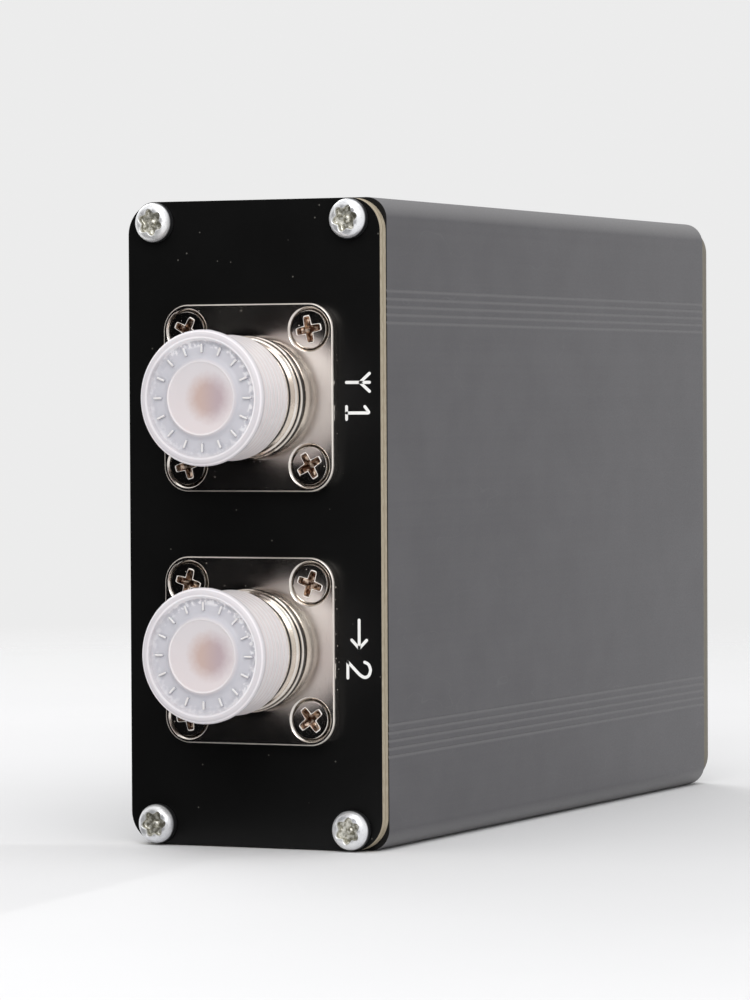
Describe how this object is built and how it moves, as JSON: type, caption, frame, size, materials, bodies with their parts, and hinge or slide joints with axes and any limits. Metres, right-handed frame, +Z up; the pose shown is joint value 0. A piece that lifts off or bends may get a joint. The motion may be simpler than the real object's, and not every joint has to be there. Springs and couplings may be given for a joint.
{
  "type": "automatic antenna tuner",
  "caption": "Automatic antenna tuner in a split, grooved aluminium case: two capped coaxial sockets on one end panel, a display, tune button, rocker switch and supply jack on the other.",
  "frame": {"origin": "under the middle of the whole object, on the narrow face that it stands on", "axes": "+Z up along the 88 mm height of the case, +Y from the connector panel with the capped sockets to the control panel, +X towards the wide grooved face shown in the picture"},
  "size_m": [0.038, 0.1448, 0.088],
  "materials": {
    "case_anodised": "fine matt anodised extrusion",
    "panel_black": "satin black solder mask over glass-epoxy board, tan at its cut edge",
    "zinc_plated": "bright zinc plate",
    "bright_nickel": "bright nickel plate",
    "socket_insulation": "pale moulded insulation",
    "contact_plating": "warm plated contact",
    "milky_plastic": "soft translucent milky plastic",
    "lead_insulation": "insulated hook-up wire",
    "board_laminate": "green solder mask board",
    "component_black": "moulded component case",
    "bare_copper": "enamelled copper wire",
    "powder_core": "painted iron powder core",
    "ferrite": "bare ferrite",
    "window_clear": "clear acrylic window",
    "display_glass": "dark display glass",
    "control_black": "fine-grained black plastic",
    "lamp_green": "tinted lamp lens"
  },
  "bodies": {
    "root": {"case_half_right": "case_anodised", "case_half_left": "case_anodised", "connector_panel": "panel_black", "control_panel": "panel_black", "connector_panel_screw_1": "zinc_plated", "connector_panel_screw_2": "zinc_plated", "connector_panel_screw_3": "zinc_plated", "connector_panel_screw_4": "zinc_plated", "control_panel_screw_1": "zinc_plated", "control_panel_screw_2": "zinc_plated", "control_panel_screw_3": "zinc_plated", "control_panel_screw_4": "zinc_plated", "dc_jack_pin": "zinc_plated", "dc_jack_nut": "zinc_plated", "antenna_socket_body": "bright_nickel", "antenna_flange_screw_1": "bright_nickel", "antenna_flange_screw_2": "bright_nickel", "antenna_flange_screw_3": "bright_nickel", "antenna_flange_screw_4": "bright_nickel", "antenna_socket_insulator": "socket_insulation", "antenna_socket_contact": "contact_plating", "antenna_lead": "lead_insulation", "transmitter_socket_body": "bright_nickel", "transmitter_flange_screw_1": "bright_nickel", "transmitter_flange_screw_2": "bright_nickel", "transmitter_flange_screw_3": "bright_nickel", "transmitter_flange_screw_4": "bright_nickel", "transmitter_socket_insulator": "socket_insulation", "transmitter_socket_contact": "contact_plating", "transmitter_lead": "lead_insulation", "main_board": "board_laminate", "display_board": "board_laminate", "inductor_relay_1": "component_black", "inductor_relay_2": "component_black", "inductor_relay_3": "component_black", "inductor_relay_4": "component_black", "inductor_relay_5": "component_black", "capacitor_relay_1": "component_black", "capacitor_relay_2": "component_black", "capacitor_relay_3": "component_black", "capacitor_relay_4": "component_black", "capacitor_relay_5": "component_black", "network_relay": "component_black", "controller_chip": "component_black", "tune_switch": "component_black", "inductor_1": "bare_copper", "inductor_2": "bare_copper", "inductor_3": "powder_core", "inductor_4": "powder_core", "inductor_5": "powder_core", "bridge_transformer": "ferrite", "display_window": "window_clear", "display_glass": "display_glass", "power_switch_frame": "control_black", "dc_jack_body": "control_black", "status_led": "lamp_green"},
    "antenna_cap": {"antenna_dust_cap": "milky_plastic"},
    "transmitter_cap": {"transmitter_dust_cap": "milky_plastic"},
    "tune_key": {"tune_button": "control_black"},
    "power_key": {"power_rocker": "control_black"}
  },
  "joints": [
    {"name": "antenna_cap_pull", "type": "slide", "parent": "root", "child": "antenna_cap", "axis": [0, -1, 0], "range_m": [0, 0.012]},
    {"name": "transmitter_cap_pull", "type": "slide", "parent": "root", "child": "transmitter_cap", "axis": [0, -1, 0], "range_m": [0, 0.012]},
    {"name": "tune_press", "type": "slide", "parent": "root", "child": "tune_key", "axis": [0, -1, 0], "range_m": [0, 0.0015], "stiffness_N_per_m": 800},
    {"name": "power_rock", "type": "hinge", "parent": "root", "child": "power_key", "pos_m": [0, 0.06825, 0.076], "axis": [0, 0, 1], "range_deg": [0, 20]}
  ]
}
